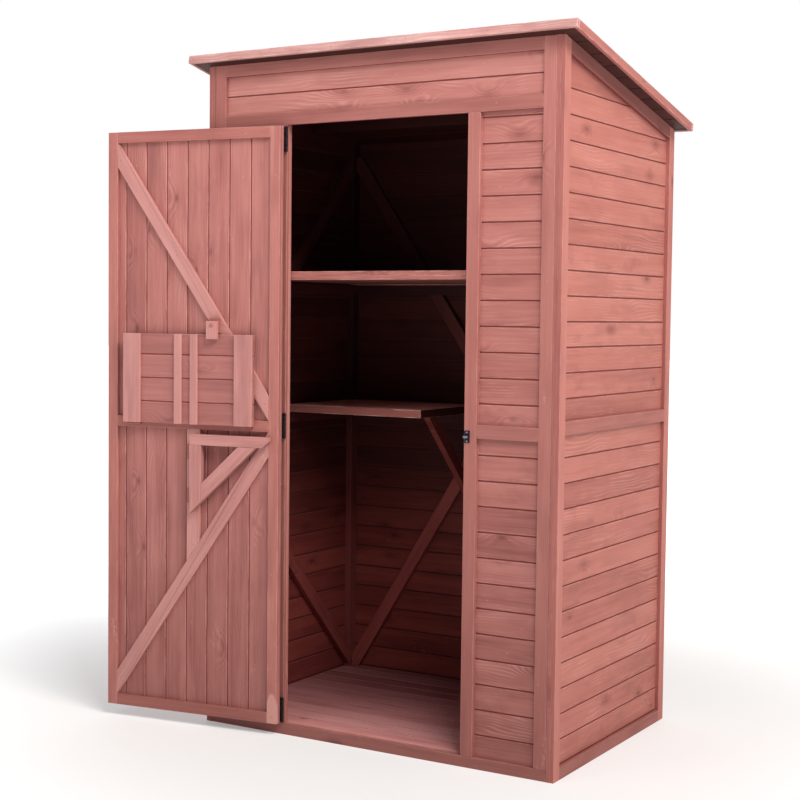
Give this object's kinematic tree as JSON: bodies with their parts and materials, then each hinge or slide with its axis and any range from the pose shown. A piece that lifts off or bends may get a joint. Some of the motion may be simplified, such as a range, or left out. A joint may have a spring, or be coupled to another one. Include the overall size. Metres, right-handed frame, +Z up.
{
  "type": "storage shed",
  "caption": "Small timber garden shed with a pent roof, two inside shelves and a left-hung door that carries a fold-down table on a swinging bracket.",
  "frame": {"origin": "under the middle of the floor, on the underside of the centre bearer, where the shed rests on the ground", "axes": "+Z up, -Y out of the doorway, +X to the right for someone who looks at the doorway from outside"},
  "size_m": [1.526, 0.9626, 2.0289],
  "materials": {
    "wall_boards": "satin",
    "strips": "satin",
    "inner_timber": "satin",
    "floor_boards": "satin",
    "roof_boards": "satin",
    "shelf_boards": "satin",
    "door_boards": "satin",
    "door_strips": "satin",
    "table_boards": "satin",
    "table_strips": "satin",
    "iron": "satin",
    "felt": "matte"
  },
  "bodies": {
    "shed": {"floor_bearers": "inner_timber", "floor_deck": "floor_boards", "threshold": "floor_boards", "front_stiles": "strips", "front_rails": "strips", "front_left_boards": "wall_boards", "front_right_boards": "wall_boards", "header_boards": "wall_boards", "left_wall_stiles": "strips", "left_wall_rails": "strips", "left_wall_boards": "wall_boards", "right_wall_stiles": "strips", "right_wall_rails": "strips", "right_wall_boards": "wall_boards", "back_wall_stiles": "strips", "back_wall_rails": "strips", "back_wall_boards": "wall_boards", "inner_stiles": "inner_timber", "wall_braces": "inner_timber", "back_inner_rail": "inner_timber", "roof_deck": "roof_boards", "roof_felt": "felt", "roof_fascias": "strips", "roof_bargeboards": "strips", "roof_purlins": "inner_timber", "top_shelf": "shelf_boards", "lower_shelf": "shelf_boards", "side_cleats": "inner_timber", "back_cleat": "inner_timber", "shelf_strut": "inner_timber", "jamb_hinge_leaves": "iron", "latch_keeper": "iron"},
    "door": {"door_boards": "door_boards", "door_stiles": "door_strips", "door_rails": "door_strips", "door_braces": "door_strips", "door_upright": "door_strips", "door_hinge_leaves": "iron", "door_hasp": "iron", "table_hinge_plates": "iron", "bracket_hinge_plates": "iron", "button_block": "door_strips"},
    "table": {"table_boards": "table_boards", "table_battens": "table_strips", "table_hinge_leaves": "iron"},
    "bracket": {"table_bracket": "table_strips", "bracket_hinge_leaves": "iron"},
    "button": {"turn_button": "table_strips"}
  },
  "joints": [
    {"name": "door_hinge", "type": "hinge", "parent": "shed", "child": "door", "pos_m": [-0.3, -0.4075, 0.92], "axis": [0, 0, 1], "range_deg": [-8, 172]},
    {"name": "table_fold", "type": "hinge", "parent": "door", "child": "table", "pos_m": [-0.59758, -0.48164, 0.917], "axis": [0.9903, 0.1392, 0], "range_deg": [0, 90]},
    {"name": "bracket_swing", "type": "hinge", "parent": "door", "child": "bracket", "pos_m": [-0.58867, -0.48038, 0.772], "axis": [0, 0, -1], "range_deg": [0, 90]},
    {"name": "button_turn", "type": "hinge", "parent": "door", "child": "button", "pos_m": [-0.50539, -0.4909, 1.219], "axis": [0.1392, -0.9903, 0], "continuous": true}
  ]
}
